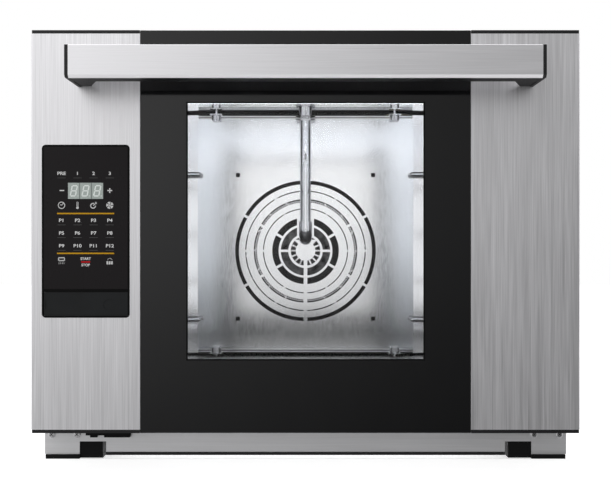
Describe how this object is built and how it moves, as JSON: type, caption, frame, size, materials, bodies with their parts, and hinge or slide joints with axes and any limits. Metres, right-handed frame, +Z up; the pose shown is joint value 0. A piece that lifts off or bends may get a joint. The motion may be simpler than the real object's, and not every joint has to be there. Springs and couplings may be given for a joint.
{
  "type": "convection oven",
  "caption": "Countertop convection oven with a drop-down glass door between steel columns, a bar handle, a touch panel with a service flap, and a perforated air deflector.",
  "frame": {"origin": "middle of the width and depth, on the surface the oven stands on", "axes": "+X to the right seen from the front, +Y to the back, +Z up; the door faces -Y"},
  "size_m": [0.6026, 0.669, 0.502],
  "materials": {
    "steel_brushed": "brushed",
    "steel_bright": "bright",
    "steel_dark": "dull",
    "chrome": "polished",
    "aluminium": "brushed",
    "rubber_black": "matte",
    "plastic_black": "matte",
    "plastic_gloss": "gloss",
    "plastic_white": "matte",
    "display_grey": "gloss",
    "board_green": "satin",
    "motor_paint": "satin",
    "copper": "satin",
    "wool": "matte",
    "glass_tinted": "gloss",
    "glass_clear": "gloss"
  },
  "bodies": {
    "cabinet": {"front_frame": "steel_brushed", "side_panel_left": "steel_brushed", "side_panel_right": "steel_brushed", "top_cover": "steel_brushed", "back_panel": "steel_brushed", "base_tray": "steel_brushed", "base_trim": "rubber_black", "feet": "plastic_black", "frame_screws": "steel_bright", "harness_cover": "plastic_black", "door_gasket": "rubber_black", "cavity_floor": "steel_bright", "cavity_ceiling": "steel_bright", "cavity_side_left": "steel_bright", "cavity_side_right": "steel_bright", "cavity_back": "steel_bright", "insulation": "wool", "deflector": "steel_bright", "deflector_screws": "steel_bright", "heating_element": "steel_dark", "steam_pipe": "chrome", "steam_pipe_nut": "chrome", "rack_left": "chrome", "rack_right": "chrome", "fan_motor": "motor_paint", "vent_stub": "steel_bright", "water_valve": "plastic_white", "water_pipe": "copper", "cable_gland": "plastic_black", "terminal_block": "plastic_white", "power_board": "board_green", "safety_thermostat": "plastic_white", "temperature_probe": "steel_bright", "cooling_fan_frame": "plastic_black", "hinge_arms": "steel_dark"},
    "fan": {"fan_wheel": "steel_bright", "motor_shaft": "steel_bright", "fan_nut": "steel_bright"},
    "cooling_fan": {"cooling_fan_rotor": "plastic_black"},
    "door": {"door_pan": "steel_bright", "outer_glass": "glass_tinted", "inner_glass": "glass_clear", "glass_clips": "steel_bright", "led_bar": "plastic_white", "left_column": "steel_brushed", "right_column": "steel_brushed", "door_end_caps": "plastic_black", "handle_bar": "aluminium", "handle_caps": "plastic_black", "handle_back": "plastic_black", "panel_bezel": "plastic_gloss", "touch_panel": "plastic_gloss", "display": "display_grey", "control_board": "board_green", "hinge_channels": "steel_dark", "hinge_pins": "steel_bright", "hinge_springs": "steel_dark", "flap_pin": "steel_bright"},
    "flap": {"service_flap": "plastic_black"},
    "spring_rods": {"spring_rods": "steel_bright"}
  },
  "joints": [
    {"name": "door_hinge", "type": "hinge", "parent": "cabinet", "child": "door", "pos_m": [0, -0.2265, 0.047], "axis": [1, 0, 0], "range_deg": [0, 90], "stiffness_Nm_per_rad": 8.9, "springref_deg": -38.39},
    {"name": "spring_rod_slide", "type": "slide", "parent": "door", "child": "spring_rods", "axis": [0, 0, 1], "range_m": [0, 0.019], "deforming": ["hinge_springs"]},
    {"name": "flap_hinge", "type": "hinge", "parent": "door", "child": "flap", "pos_m": [-0.2861, -0.2669, 0.18015], "axis": [0, 0, -1], "range_deg": [0, 95]},
    {"name": "fan_spin", "type": "hinge", "parent": "cabinet", "child": "fan", "pos_m": [0, 0.19, 0.236], "axis": [0, 1, 0], "continuous": true},
    {"name": "cooling_fan_spin", "type": "hinge", "parent": "cabinet", "child": "cooling_fan", "pos_m": [0.16, 0.3, 0.38], "axis": [0, 1, 0], "continuous": true}
  ],
  "couplings": [
    {"joint": "spring_rod_slide", "follows": "door_hinge", "m_per_rad": 0.012}
  ]
}
